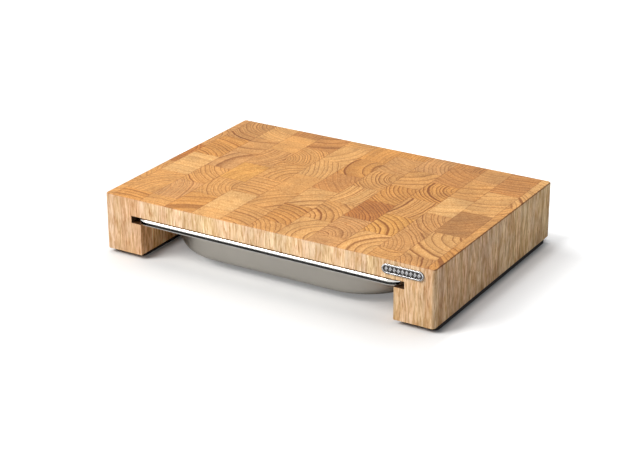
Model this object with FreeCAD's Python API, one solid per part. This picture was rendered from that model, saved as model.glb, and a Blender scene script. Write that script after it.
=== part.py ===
import FreeCAD, Part
import math
import os

# End-grain cutting board on two side rails, with a pressed steel tray that slides in under it.
# Millimetres. +X right, +Y to the back, +Z up. The origin is the middle of the board's footprint,
# on the surface that the board stands on. The tray is shown pushed home, flush with the front.

# ---- Tray: half-size catering pan, one pressed sheet with a rolled rim ----
TRAY_WIDTH = 325.0          # over the rim, left to right
TRAY_LENGTH = 265.0         # over the rim, front to back
TRAY_DEPTH = 40.0           # top of the rim to the underside of the floor
SHEET = 0.8                 # steel
RIM_CORNER = 20.0           # plan radius of the rim's outer corners
ROLL_HEIGHT = 6.8           # height of the rolled edge
ROLL_SHOULDER = 2.2         # radius from the flange over the edge, at the middle of the sheet
ROLL_LIP = 1.2              # radius from the edge back in underneath, at the middle of the sheet
ROLL_RETURN = 1.2           # straight lip behind the roll, turned back in
FLANGE_WIDTH = 12.0         # outer edge of the rim to the basin's mouth
MOUTH_CORNER = 79.0         # plan radius of the basin's mouth
WALL_SLOPE = 10.0           # lean of the basin's walls, degrees from upright
MOUTH_BEND = 2.4            # radius from flange into wall, at the middle of the sheet
FLOOR_BEND = 12.0           # radius from wall into floor, at the middle of the sheet
SEAM_LAND = 0.5             # flat kept beyond each bend, where bends meet flange and floor

# ---- Fit of the tray in the board ----
SIDE_GAP = 0.5              # rim edge to the groove's end, each side
UNDER_GAP = 0.3             # rolled edge to the groove's floor
HEADROOM = 0.6              # top of the rim to the ceiling over it
WALL_CLEARANCE = 1.0        # basin's mouth to the rail's inner face
FOOT_CLEARANCE = 2.4        # underside of the tray's floor above the rails' undersides
FRONT_REACH = 1.5           # rim out past the board's front face, tray home
BACK_MARGIN = 8.5           # back of the rim to the board's back face, tray home

# ---- Wood ----
SLAB_THICKNESS = 19.9       # cutting slab over the tray
RAIL_LAMELLA_WIDTH = 35.0   # inner lamella of each rail, which carries the groove
EDGE_STRIP_WIDTH = 10.0     # outer lamella of each rail
SLAB_SHARES = (32.0, 34.0, 34.5, 34.5, 34.0, 35.0, 34.5, 35.5, 30.0)  # slab lamellas, left to right
CORNER_ROUND = 4.0          # upright outer edges
TOP_ROUND = 1.5             # edges round the cutting face

# ---- End-grain blocks: each lamella is a row of them, from front to back ----
SLAB_BLOCK = 50.6           # length of a block in the slab
SLAB_FIRST_ODD = 23.5       # front block of the first, third, fifth ... slab lamella
SLAB_FIRST_EVEN = 51.0      # front block of the second, fourth, sixth ... slab lamella
RAIL_BLOCK = 62.8           # length of a block in the rails' inner lamellas
RAIL_FIRST_LEFT = 25.0      # front block, left rail
RAIL_FIRST_RIGHT = 21.0     # front block, right rail
STRIP_BLOCK = 60.2          # length of a block in the edge strips
STRIP_FIRST_LEFT = 54.5     # front block, left edge strip
STRIP_FIRST_RIGHT = 58.7    # front block, right edge strip
SHORTEST_BLOCK = 8.0        # a shorter remainder at the back stays part of the block before it

# ---- Anti-slip strips under the rails ----
PAD_THICKNESS = 5.0
PAD_OUTER_INSET = 0.5       # in from the board's side
PAD_INNER_INSET = 3.0       # in from the rail's inner face
PAD_END_INSET = 8.0         # in from the front and back faces
PAD_CORNER = 6.0            # plan radius

# ---- Badge on the front: a plain metal plate with a row of lozenges ----
BADGE_LENGTH = 46.0
BADGE_HEIGHT = 10.0
BADGE_THICKNESS = 1.2
BADGE_BORDER = 1.3          # raised rim round the sunk field
BADGE_RECESS = 0.6          # depth of the field
BADGE_PAD_THICKNESS = 0.3   # adhesive pad behind the plate
BADGE_PAD_INSET = 0.6       # pad set in from the plate's edge
BADGE_FROM_SIDE = 35.0      # plate's middle, in from the board's right side
BADGE_FROM_TOP = 9.7        # plate's middle, down from the cutting face
LOZENGE_COUNT = 9
LOZENGE_MARGIN = 0.9        # lozenge tips to the raised rim
LOZENGE_HEIGHT = 0.4        # above the field
LOZENGE_GAP = 0.5           # between neighbours

# ---- Levels and half sizes that follow from the values above ----
FOOT_Z = PAD_THICKNESS
TRAY_FLOOR_Z = FOOT_Z + FOOT_CLEARANCE
RIM_TOP_Z = TRAY_FLOOR_Z + TRAY_DEPTH
CEILING_Z = RIM_TOP_Z + HEADROOM
TOP_Z = CEILING_Z + SLAB_THICKNESS
GROOVE_FLOOR_Z = RIM_TOP_Z - ROLL_HEIGHT - UNDER_GAP
CHANNEL_HALF = TRAY_WIDTH / 2 - FLANGE_WIDTH + WALL_CLEARANCE
GROOVE_HALF = TRAY_WIDTH / 2 + SIDE_GAP
STRIP_INNER = CHANNEL_HALF + RAIL_LAMELLA_WIDTH
BOARD_HALF = STRIP_INNER + EDGE_STRIP_WIDTH
DEPTH_HALF = (TRAY_LENGTH - FRONT_REACH + BACK_MARGIN) / 2


def box_between(low, high):
    """Box from its lowest to its highest corner."""
    size = [b - a for a, b in zip(low, high)]
    return Part.makeBox(size[0], size[1], size[2], FreeCAD.Vector(low[0], low[1], low[2]))


def rounded_outline(half_x, half_y, corner, z):
    """Closed wire of a rectangle with round corners, centred on the Z axis."""
    wire_edges = []
    for turn in range(4):
        reach, along = (half_x, half_y) if turn % 2 == 0 else (half_y, half_x)
        inner_reach, inner_along = reach - corner, along - corner
        slant = corner * math.sqrt(0.5)
        start = FreeCAD.Vector(reach, -inner_along, z)
        end = FreeCAD.Vector(reach, inner_along, z)
        middle = FreeCAD.Vector(inner_reach + slant, inner_along + slant, z)
        finish = FreeCAD.Vector(inner_reach, along, z)
        for edge in (Part.LineSegment(start, end).toShape(), Part.Arc(end, middle, finish).toShape()):
            edge.rotate(FreeCAD.Vector(0, 0, 0), FreeCAD.Vector(0, 0, 1), 90 * turn)
            wire_edges.append(edge)
    return Part.Wire(Part.__sortEdges__(wire_edges))


def rounded_plate(half_x, half_y, corner, low_z, high_z):
    """Flat plate with round corners, centred on the Z axis."""
    face = Part.Face(rounded_outline(half_x, half_y, corner, low_z))
    return face.extrude(FreeCAD.Vector(0, 0, high_z - low_z))


def fused(solids):
    """One clean solid from touching solids."""
    return solids[0].multiFuse(solids[1:]).removeSplitter()


# ---------------------------------------------------------------- bent sheet

def bend_reach(before, corner, after, radius):
    """Length that a bend takes from each of the two runs that meet at a corner."""
    first = (corner - before).normalize()
    second = (after - corner).normalize()
    return radius * math.tan(first.getAngle(second) / 2)


def sheet_side(points, radii, offset):
    """Edges of one face of a bent sheet, offset to the left of its middle line."""
    up = FreeCAD.Vector(0, 1, 0)
    edges = []
    at = None
    for i, point in enumerate(points):
        ahead = (points[min(i + 1, len(points) - 1)] - point)
        behind = (point - points[max(i - 1, 0)])
        ends = i in (0, len(points) - 1)
        leaving = ahead if i < len(points) - 1 else behind
        arriving = behind if i > 0 else ahead
        leaving = FreeCAD.Vector(leaving).normalize()
        arriving = FreeCAD.Vector(arriving).normalize()
        left_in = arriving.cross(up)
        left_out = leaving.cross(up)
        if ends:
            enter = leave = point + left_out * offset
        else:
            reach = bend_reach(points[i - 1], point, points[i + 1], radii[i])
            enter = point - arriving * reach + left_in * offset
            leave = point + leaving * reach + left_out * offset
        if at is not None and at.distanceToPoint(enter) > 1e-6:
            edges.append(Part.LineSegment(at, enter).toShape())
        if not ends:
            inward = (leaving - arriving).normalize()
            turn = 1 if inward.dot(left_in) > 0 else -1
            middle_of_bend = point - arriving * reach + left_in * (turn * radii[i])
            crown = middle_of_bend - inward * (radii[i] - turn * offset)
            edges.append(Part.Arc(enter, crown, leave).toShape())
        at = leave
    return edges


def sheet_section(points, radii):
    """Face across a bent sheet. Points give its middle line in X and Z, radii its bends."""
    left = sheet_side(points, radii, SHEET / 2)
    right = sheet_side(points, radii, -SHEET / 2)
    starts = [side[0].valueAt(side[0].FirstParameter) for side in (left, right)]
    ends = [side[-1].valueAt(side[-1].LastParameter) for side in (left, right)]
    caps = [Part.LineSegment(pair[0], pair[1]).toShape() for pair in (starts, ends)]
    return Part.Face(Part.Wire(Part.__sortEdges__(left + right + caps)))


def ring(section, half_x, half_y, corner):
    """Carries a section round a rounded rectangle. Its X counts outward from the outline."""
    origin = FreeCAD.Vector(0, 0, 0)
    upright = FreeCAD.Vector(0, 0, 1)
    pieces = []
    for turn in range(4):
        reach, along = (half_x, half_y) if turn % 2 == 0 else (half_y, half_x)
        straight = section.translated(FreeCAD.Vector(reach, corner - along, 0))
        straight = straight.extrude(FreeCAD.Vector(0, 2 * (along - corner), 0))
        bend = section.translated(FreeCAD.Vector(corner, 0, 0)).revolve(origin, upright, 90)
        bend.translate(FreeCAD.Vector(reach - corner, along - corner, 0))
        for piece in (straight, bend):
            piece.rotate(origin, upright, 90 * turn)
            pieces.append(piece)
    return pieces


# ---------------------------------------------------------------- tray

def wall_line():
    """Middle line from the flange down the basin's wall to its floor, from the mouth's outline."""
    middle_depth = TRAY_DEPTH - SHEET
    mouth = FreeCAD.Vector(0, 0, 0)
    foot = FreeCAD.Vector(-middle_depth * math.tan(math.radians(WALL_SLOPE)), 0, -middle_depth)
    on_flange = FreeCAD.Vector(1, 0, 0)
    on_floor = FreeCAD.Vector(-1, 0, 0)
    mouth_reach = bend_reach(mouth + on_flange, mouth, foot, MOUTH_BEND)
    foot_reach = bend_reach(mouth, foot, foot + on_floor, FLOOR_BEND)
    start = mouth + on_flange * (mouth_reach + SEAM_LAND)
    finish = foot + on_floor * (foot_reach + SEAM_LAND)
    return [start, mouth, foot, finish]


def roll_line():
    """Middle line of the rolled edge, from the flange out, down and back in."""
    drop = ROLL_HEIGHT - SHEET
    start = FreeCAD.Vector(-ROLL_SHOULDER - SEAM_LAND, 0, 0)
    finish = FreeCAD.Vector(-ROLL_LIP - ROLL_RETURN, 0, -drop)
    return [start, FreeCAD.Vector(0, 0, 0), FreeCAD.Vector(0, 0, -drop), finish]


def tray():
    """Pressed pan: floor, sloping walls, flange and rolled edge in one sheet."""
    middle_z = RIM_TOP_Z - SHEET / 2
    rim_x = (TRAY_WIDTH - SHEET) / 2
    rim_y = (TRAY_LENGTH - SHEET) / 2
    rim_corner = RIM_CORNER - SHEET / 2
    mouth_x = TRAY_WIDTH / 2 - FLANGE_WIDTH
    mouth_y = TRAY_LENGTH / 2 - FLANGE_WIDTH

    wall = wall_line()
    wall_section = sheet_section(wall, [0, MOUTH_BEND, FLOOR_BEND, 0])
    roll = roll_line()
    roll_section = sheet_section(roll, [0, ROLL_SHOULDER, ROLL_LIP, 0])

    hole, floor, edge = wall[0].x, wall[-1].x, roll[0].x
    half = SHEET / 2
    flange = rounded_plate(rim_x + edge, rim_y + edge, rim_corner + edge, -half, half)
    flange = flange.cut(rounded_plate(mouth_x + hole, mouth_y + hole, MOUTH_CORNER + hole, -SHEET, SHEET))
    floor_z = wall[-1].z
    bottom = rounded_plate(
        mouth_x + floor, mouth_y + floor, MOUTH_CORNER + floor, floor_z - half, floor_z + half
    )
    walls = ring(wall_section, mouth_x, mouth_y, MOUTH_CORNER)
    rolls = ring(roll_section, rim_x, rim_y, rim_corner)
    pan = fused([flange, bottom] + walls + rolls)
    pan.translate(FreeCAD.Vector(0, TRAY_LENGTH / 2 - FRONT_REACH - DEPTH_HALF, middle_z))
    return [pan]


# ---------------------------------------------------------------- wood

def edges_where(shape, test):
    """Edges of a shape whose bounding box passes a test."""
    return [edge for edge in shape.Edges if test(edge.BoundBox)]


def board_body():
    """Outer form of the whole board: slab and rails, with the tray's channel and grooves cut."""
    body = box_between((-BOARD_HALF, -DEPTH_HALF, FOOT_Z), (BOARD_HALF, DEPTH_HALF, TOP_Z))
    upright = edges_where(body, lambda b: b.XLength < 1e-6 and b.YLength < 1e-6)
    body = body.makeFillet(CORNER_ROUND, upright)
    round_top = edges_where(body, lambda b: b.ZMin > TOP_Z - 1e-6)
    body = body.makeFillet(TOP_ROUND, round_top)
    past = DEPTH_HALF + BACK_MARGIN
    channel = box_between((-CHANNEL_HALF, -past, 0), (CHANNEL_HALF, past, CEILING_Z))
    grooves = box_between((-GROOVE_HALF, -past, GROOVE_FLOOR_Z), (GROOVE_HALF, past, CEILING_Z))
    return body.cut(channel.fuse(grooves))


def block_spans(first, length):
    """Front and back of each block in a lamella, given its front block and the usual length."""
    cuts = [-DEPTH_HALF, -DEPTH_HALF + first]
    while cuts[-1] + length < DEPTH_HALF - SHORTEST_BLOCK:
        cuts.append(cuts[-1] + length)
    cuts.append(DEPTH_HALF)
    return zip(cuts[:-1], cuts[1:])


def lamella(body, left, right, first, length):
    """One glued row of end-grain blocks, cut from the board's form."""
    blocks = []
    for front, back in block_spans(first, length):
        room = box_between((left, front, FOOT_Z), (right, back, TOP_Z))
        blocks.extend(body.common(room).Solids)
    return blocks


def rails(body):
    """The two side rails: an outer edge strip and an inner lamella each."""
    return {
        "left_edge_strip": lamella(body, -BOARD_HALF, -STRIP_INNER, STRIP_FIRST_LEFT, STRIP_BLOCK),
        "left_rail": lamella(body, -STRIP_INNER, -CHANNEL_HALF, RAIL_FIRST_LEFT, RAIL_BLOCK),
        "right_rail": lamella(body, CHANNEL_HALF, STRIP_INNER, RAIL_FIRST_RIGHT, RAIL_BLOCK),
        "right_edge_strip": lamella(body, STRIP_INNER, BOARD_HALF, STRIP_FIRST_RIGHT, STRIP_BLOCK),
    }


def slab(body):
    """The slab's lamellas between the rails, with the joints of neighbours staggered."""
    per_share = 2 * CHANNEL_HALF / sum(SLAB_SHARES)
    nodes = {}
    left = -CHANNEL_HALF
    for number, share in enumerate(SLAB_SHARES, start=1):
        right = left + share * per_share
        first = SLAB_FIRST_ODD if number % 2 else SLAB_FIRST_EVEN
        nodes["slab_lamella_%d" % number] = lamella(body, left, right, first, SLAB_BLOCK)
        left = right
    return nodes


# ---------------------------------------------------------------- strips and badge

def anti_slip_strip(side):
    """Rubber strip under one rail. Side is -1 for left, 1 for right."""
    width = BOARD_HALF - CHANNEL_HALF - PAD_OUTER_INSET - PAD_INNER_INSET
    strip = rounded_plate(width / 2, DEPTH_HALF - PAD_END_INSET, PAD_CORNER, 0, FOOT_Z)
    middle = BOARD_HALF - PAD_OUTER_INSET - width / 2
    strip.translate(FreeCAD.Vector(side * middle, 0, 0))
    return [strip]


def stadium(length, height, low, high):
    """Plate with half-round ends, lying along X, its face towards -Y. Low and high are depths."""
    plate = rounded_plate(length / 2, height / 2, height / 2 - 1e-3, low, high)
    plate.rotate(FreeCAD.Vector(0, 0, 0), FreeCAD.Vector(1, 0, 0), 90)
    return plate


def lozenge(half_width, half_height, low, high):
    """Upright diamond, raised from the badge's field."""
    corners = [(half_width, 0), (0, half_height), (-half_width, 0), (0, -half_height), (half_width, 0)]
    outline = Part.makePolygon([FreeCAD.Vector(x, -low, z) for x, z in corners])
    return Part.Face(outline).extrude(FreeCAD.Vector(0, low - high, 0))


def badge():
    """The badge's plate and the adhesive pad that holds it on the front face."""
    pad_edge = 2 * BADGE_PAD_INSET
    pad = stadium(BADGE_LENGTH - pad_edge, BADGE_HEIGHT - pad_edge, 0, BADGE_PAD_THICKNESS)
    face = BADGE_PAD_THICKNESS + BADGE_THICKNESS
    field = face - BADGE_RECESS
    border = 2 * BADGE_BORDER
    plate = stadium(BADGE_LENGTH, BADGE_HEIGHT, BADGE_PAD_THICKNESS, face)
    plate = plate.cut(stadium(BADGE_LENGTH - border, BADGE_HEIGHT - border, field, face + BADGE_RECESS))

    field_height = BADGE_HEIGHT - border
    row = BADGE_LENGTH - border - field_height
    pitch = row / (LOZENGE_COUNT - 1)
    half_height = field_height / 2 - LOZENGE_MARGIN
    half_width = (pitch - LOZENGE_GAP) / 2
    raised = []
    for i in range(LOZENGE_COUNT):
        diamond = lozenge(half_width, half_height, field, field + LOZENGE_HEIGHT)
        diamond.translate(FreeCAD.Vector(i * pitch - row / 2, 0, 0))
        raised.append(diamond)
    plate = fused([plate] + raised)

    place = FreeCAD.Vector(BOARD_HALF - BADGE_FROM_SIDE, -DEPTH_HALF, TOP_Z - BADGE_FROM_TOP)
    plate.translate(place)
    pad.translate(place)
    return {"badge_plate": [plate], "badge_adhesive_pad": [pad]}


# ---------------------------------------------------------------- all nodes

def nodes():
    """Every named piece of the board, each as a list of solids."""
    body = board_body()
    found = {}
    found.update(rails(body))
    found.update(slab(body))
    found["tray"] = tray()
    found["left_anti_slip_strip"] = anti_slip_strip(-1)
    found["right_anti_slip_strip"] = anti_slip_strip(1)
    found.update(badge())
    return found


os.makedirs("parts", exist_ok=True)
for name, solids in nodes().items():
    shape = solids[0] if len(solids) == 1 else Part.makeCompound(solids)
    shape.exportStep("parts/%s.step" % name)
    print("%-24s %2d solids  %9.1f mm3  valid %s" % (name, len(solids), shape.Volume, shape.isValid()))
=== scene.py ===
"""Dresses the end-grain cutting board and its sliding steel tray, and sets them on a pale floor.

Metres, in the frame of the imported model: +X right, +Y to the back, +Z up, the board standing on z = 0.
"""

import logging
import math
from dataclasses import dataclass
from enum import Enum
from functools import cached_property, reduce
from operator import mul
from typing import Any, Callable, NamedTuple, Optional, Sequence, Union

import bmesh
import bpy
from mathutils import Matrix, Vector


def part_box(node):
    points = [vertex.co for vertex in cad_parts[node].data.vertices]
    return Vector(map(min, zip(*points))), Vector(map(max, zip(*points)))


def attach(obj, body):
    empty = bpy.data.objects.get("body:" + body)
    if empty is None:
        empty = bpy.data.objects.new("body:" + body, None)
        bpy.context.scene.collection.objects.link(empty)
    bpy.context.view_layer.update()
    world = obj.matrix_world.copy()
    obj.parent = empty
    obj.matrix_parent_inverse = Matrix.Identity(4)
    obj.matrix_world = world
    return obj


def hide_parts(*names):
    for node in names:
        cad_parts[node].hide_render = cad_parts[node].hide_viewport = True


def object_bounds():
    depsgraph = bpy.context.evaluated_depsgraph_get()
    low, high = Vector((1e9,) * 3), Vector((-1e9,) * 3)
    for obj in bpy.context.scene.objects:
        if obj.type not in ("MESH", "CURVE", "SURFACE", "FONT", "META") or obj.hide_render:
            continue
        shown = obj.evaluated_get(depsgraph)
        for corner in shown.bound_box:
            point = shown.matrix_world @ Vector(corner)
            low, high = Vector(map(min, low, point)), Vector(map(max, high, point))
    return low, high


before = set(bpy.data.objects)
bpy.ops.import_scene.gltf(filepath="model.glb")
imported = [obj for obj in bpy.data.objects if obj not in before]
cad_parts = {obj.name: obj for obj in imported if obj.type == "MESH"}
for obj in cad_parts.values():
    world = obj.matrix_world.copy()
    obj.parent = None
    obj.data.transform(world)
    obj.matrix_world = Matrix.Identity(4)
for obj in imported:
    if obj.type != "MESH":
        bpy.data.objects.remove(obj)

CAD_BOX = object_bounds()
MM = 0.001
FULL_TONE = 255.0

log = logging.getLogger("cutting_board")

Form = bmesh.types.BMesh
Material = bpy.types.Material
Tree = bpy.types.NodeTree
Triple = tuple[float, float, float]
Loop = list[Triple]
Placing = Callable[[float, float, float], Vector]
Feed = Union[float, Sequence[float], "Signal"]
Feeds = dict[Union[int, str], Feed]


def linear(red: float, green: float, blue: float) -> Triple:
    """Linear light values of a colour that is given from 0 to 255 as a screen shows it."""
    return tuple(
        ((c / FULL_TONE + 0.055) / 1.055) ** 2.4 if c > 10.3 else c / FULL_TONE / 12.92
        for c in (red, green, blue)
    )


# ---- shader graphs

class Step(NamedTuple):
    """Smooth step: where it begins and ends, and its value before and after."""

    low: float
    high: float
    before: float = 0.0
    after: float = 1.0


class Swing(NamedTuple):
    """Straight rule: its value at nothing, and what a full input adds."""

    base: float
    gain: float


def arithmetic(operation: str, turned: bool = False) -> Callable[..., "Signal"]:
    """Method that adds the node for an operation, with its two values exchanged where turned."""
    return lambda *values: values[0].graph.worked_out(operation, *(values[::-1] if turned else values))


@dataclass(frozen=True)
class Signal:
    """What an output gives; arithmetic with it adds the nodes that work the result out."""

    graph: "Graph"
    socket: bpy.types.NodeSocket

    __add__, __sub__, __mul__ = map(arithmetic, ("ADD", "SUBTRACT", "MULTIPLY"))
    __truediv__, __abs__, __rsub__ = arithmetic("DIVIDE"), arithmetic("ABSOLUTE"), arithmetic("SUBTRACT", turned=True)

    def step(self, *limits: float) -> "Signal":
        """Smooth step of it; the limits are those of a Step."""
        feeds = dict(enumerate((self, *Step(*limits))))
        return self.graph.node("MapRange", feeds, interpolation_type="SMOOTHSTEP")[0]

    def swing(self, rule: Swing) -> "Signal":
        """It by a straight rule."""
        return self * rule.gain + rule.base


@dataclass(frozen=True)
class Node:
    """A node, whose outputs are read by name or number."""

    graph: "Graph"
    raw: bpy.types.Node

    def __getitem__(self, output: Union[int, str]) -> Signal:
        """One of its outputs."""
        return Signal(self.graph, self.raw.outputs[output])


@dataclass(frozen=True)
class Graph:
    """Adds nodes to one tree, with inputs fed by constant or by link."""

    tree: Tree

    def node(self, kind: str, feeds: Optional[Feeds] = None, **settings: Any) -> Node:
        """Adds a node.

        Args:
            kind: Blender's name of the node's type, without "ShaderNode".
            feeds: constants or signals for its inputs, by name or number.
            **settings: its own properties.

        Returns:
            The new node.
        """
        raw = self.tree.nodes.new(kind if kind.startswith("NodeGroup") else "ShaderNode" + kind)
        for name, value in settings.items():
            setattr(raw, name, value)
        for key, value in (feeds or {}).items():
            if isinstance(value, Signal):
                self.tree.links.new(value.socket, raw.inputs[key])
            else:
                raw.inputs[key].default_value = value
        return Node(self, raw)

    def number(self, operation: str, *values: Feed, clamp: bool = False) -> Signal:
        """Result of a number operation, held between 0 and 1 where it is to clamp."""
        return self.node("Math", dict(enumerate(values)), operation=operation, use_clamp=clamp)[0]

    def vector(self, operation: str, *values: Feed) -> Signal:
        """Vector result of a vector operation, in which a constant number stands for three."""
        wide = ((value,) * 3 if isinstance(value, float) else value for value in values)
        return self.node("VectorMath", dict(enumerate(wide)), operation=operation)[0]

    def worked_out(self, operation: str, *values: Feed) -> Signal:
        """Result of an operation, on vectors as soon as one value is a vector or a colour."""
        plain = (v.socket.type == "VALUE" if isinstance(v, Signal) else isinstance(v, float) for v in values)
        return (self.number if all(plain) else self.vector)(operation, *values)

    def length(self, value: Signal) -> Signal:
        """Length of a vector."""
        return self.node("VectorMath", {0: value}, operation="LENGTH")["Value"]

    def parts(self, value: Signal) -> tuple[Signal, Signal, Signal]:
        """The three numbers in a vector."""
        split = self.node("SeparateXYZ", {0: value})
        return split[0], split[1], split[2]

    def joined(self, x: Feed, y: Feed, z: Feed) -> Signal:
        """Vector made of three numbers."""
        return self.node("CombineXYZ", {0: x, 1: y, 2: z})[0]

    def noise(self, position: Signal, scale: Feed, detail: float = 2.0, roughness: float = 0.5) -> Signal:
        """Soft noise from 0 to 1 at a position."""
        feeds = {"Vector": position, "Scale": scale, "Detail": detail, "Roughness": roughness}
        return self.node("TexNoise", feeds)[0]

    def chance(self, number: Signal) -> Signal:
        """Random value from 0 to 1 that belongs to a number."""
        return self.node("TexWhiteNoise", {"W": number}, noise_dimensions="1D")[0]

    def blend(self, factor: Feed, first: Feed, second: Feed) -> Signal:
        """Mix of two colours."""
        ends = (end + (1.0,) if isinstance(end, tuple) else end for end in (first, second))
        return self.node("Mix", dict(zip((0, 6, 7), (factor, *ends))), data_type="RGBA")[2]

    def stained(self, colour: Signal, mask: Signal, tint: Triple) -> Signal:
        """Colour that is multiplied by a tint where a mask says so."""
        return self.blend(mask, colour, colour * tint)

    def attributes(self, output: str, *names: str) -> list[Signal]:
        """Mesh attributes, read through the same output of the node."""
        return [self.node("Attribute", attribute_name=name)[output] for name in names]

    def bump(self, height: Signal, strength: float, distance: float) -> Signal:
        """Normal of a surface with a fine relief."""
        return self.node("Bump", {"Height": height, "Strength": strength, "Distance": distance})[0]

    def place(self, group: Tree, **feeds: Feed) -> Node:
        """Puts a node group in; its inputs are given by name."""
        return self.node("Group", feeds, node_tree=group)

    def give(self, **numbers: Signal) -> Tree:
        """Makes numbers the outputs of a node group.

        Args:
            **numbers: the outputs by name.

        Returns:
            The group's tree.
        """
        for name in numbers:
            self.tree.interface.new_socket(name, in_out="OUTPUT", socket_type="NodeSocketFloat")
        self.node("NodeGroupOutput", numbers)
        return self.tree


def new_group(name: str, vectors: Sequence[str], numbers: Sequence[str]) -> tuple[Graph, Node]:
    """Node group with named inputs.

    Args:
        name: the group's name.
        vectors: names of its vector inputs.
        numbers: names of its number inputs.

    Returns:
        A graph of the group's tree, and its input node.
    """
    graph = Graph(bpy.data.node_groups.new(name, "ShaderNodeTree"))
    for kind, inputs in (("NodeSocketVector", vectors), ("NodeSocketFloat", numbers)):
        for socket in inputs:
            graph.tree.interface.new_socket(socket, in_out="INPUT", socket_type=kind)
    return graph, graph.node("NodeGroupInput")


class Effects:
    """The shader effects that materials share, each built as a node group when it is first asked for."""

    RING = ((0.0, 0.35), (0.05, 0.0), (0.50, 0.07), (0.80, 0.34), (0.90, 1.0), (0.955, 1.0), (1.0, 0.35))

    @cached_property
    def growth_rings(self) -> Tree:
        """Builds year rings: wavy tubes round an upright heart line.

        Returns:
            The group, which gives dark latewood, a value for each year, and rays from the heart.
        """
        graph, given = new_group("growth_rings", ("Position", "Heart"), ("Spacing", "Seed", "Wobble"))
        seed = given["Seed"]
        shifted = given["Position"] * (1.0, 1.0, 0.12) + graph.joined(seed, seed, 0.0)
        slow_wave = (graph.noise(shifted, 38.0) - 0.5) * given["Wobble"]
        quick_wave = (graph.noise(shifted, 210.0) - 0.5) * given["Wobble"] * 0.16
        across = (given["Position"] - given["Heart"]) * (1.0, 1.0, 0.0)
        years = (graph.length(across) + slow_wave + quick_wave) / given["Spacing"]
        feeds = {"W": years + seed, "Scale": 0.55, "Detail": 1.0}
        good_years = graph.node("TexNoise", feeds, noise_dimensions="1D")[0]
        years = years + good_years * 1.5
        ring = graph.node("ValToRGB", {0: graph.number("FRACT", years)})
        stops = ring.raw.color_ramp.elements
        while len(stops) < len(self.RING):
            stops.new(0.5)
        for stop, (place, dark) in zip(stops, self.RING):
            stop.position, stop.color = place, (dark, dark, dark, 1.0)
        year = graph.chance(graph.number("FLOOR", years) + seed)
        latewood = graph.number("MULTIPLY", ring[0], year * 0.6 + 0.6, clamp=True)
        rays = graph.noise(graph.vector("NORMALIZE", across) + across * 6.0, 55.0)
        return graph.give(Latewood=latewood, Year=year, Ray=rays.step(0.5, 0.72))

    @cached_property
    def long_fibre(self) -> Tree:
        """Builds upright fibre: streaks down the sides, which show as specks on the end grain.

        Returns:
            The group, which gives fine and broad streaks and open pores.
        """
        graph, given = new_group("long_fibre", ("Position",), ("Seed",))
        moved = given["Position"] + graph.joined(given["Seed"], given["Seed"], 0.0)
        sway = (graph.noise(moved, 26.0, 1.0) - 0.5) * 0.004
        moved = moved + graph.joined(sway, sway, 0.0)
        fine = graph.noise(moved * (1.0, 0.6, 0.09), 640.0, 3.0, 0.65)
        broad = graph.noise(moved * (1.0, 0.7, 0.07), 190.0, 3.0, 0.6)
        pores = graph.noise(moved * (1.0, 0.8, 0.16), 600.0, 2.0, 0.55)
        return graph.give(Streak=fine.step(0.3, 0.7), Broad=broad.step(0.3, 0.7), Pore=pores.step(0.54, 0.68))

    @cached_property
    def glue_line(self) -> Tree:
        """Builds the thin line where a block ends.

        Returns:
            The group, which takes the block's lowest and highest corner in plan.
        """
        graph, given = new_group("glue_line", ("Position", "Low", "High"), ("Width", "Nearness"))
        from_low = graph.parts(given["Position"] - given["Low"])
        to_high = graph.parts(given["High"] - given["Position"])
        nearest_x, nearest_y = (graph.number("MINIMUM", from_low[i], to_high[i]) for i in (0, 1))
        nearest = graph.number("MINIMUM", nearest_x * given["Nearness"], nearest_y)
        return graph.give(Line=1.0 - graph.number("DIVIDE", nearest, given["Width"], clamp=True))

    @cached_property
    def handling(self) -> Tree:
        """Builds marks of use.

        Returns:
            The group, which gives soft cloudy wiping and fine scattered specks.
        """
        graph, given = new_group("handling", ("Position",), ("Cloud", "Speck"))
        cloud = graph.noise(given["Position"], given["Cloud"], 3.0)
        specks = graph.noise(given["Position"], given["Speck"], 1.0)
        return graph.give(Wiping=cloud.step(0.3, 0.7), Specks=specks.step(0.45, 0.75))


EFFECTS = Effects()


# ---- finishes

class Tone(Enum):
    """Colour of a block's end grain, from 0 to 255."""

    CREAM = (216, 166, 104)
    PALE = (212, 159, 96)
    HONEY = (206, 150, 86)
    GOLD = (207, 150, 78)
    AMBER = (201, 142, 75)
    TAN = (199, 145, 86)
    PINK = (202, 148, 91)
    BROWN = (191, 133, 74)
    RUST = (184, 119, 58)
    DUSK = (177, 125, 71)


@dataclass(frozen=True)
class Finish:
    """What a surface is made of and how it looks."""

    name: str

    def surface(self, graph: Graph) -> Feeds:
        """What goes into the Principled BSDF; each finish works it out in the material's graph."""
        raise NotImplementedError

    def material(self) -> Material:
        """Builds the material.

        Returns:
            The material.
        """
        material = bpy.data.materials.new(self.name)
        material.use_nodes = True
        material.node_tree.nodes.clear()
        graph = Graph(material.node_tree)
        shader = graph.node("BsdfPrincipled", self.surface(graph))
        graph.node("OutputMaterial", {"Surface": shader[0]})
        return material


class Streaks(NamedTuple):
    """One layer of streaks in the wood: an output of the fibre group, and how deep it goes where."""

    output: str
    middle: float  # the output's value that changes nothing
    depth: float
    side_depth: float  # more on side grain
    outward_depth: float  # more on faces that look to the right


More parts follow.
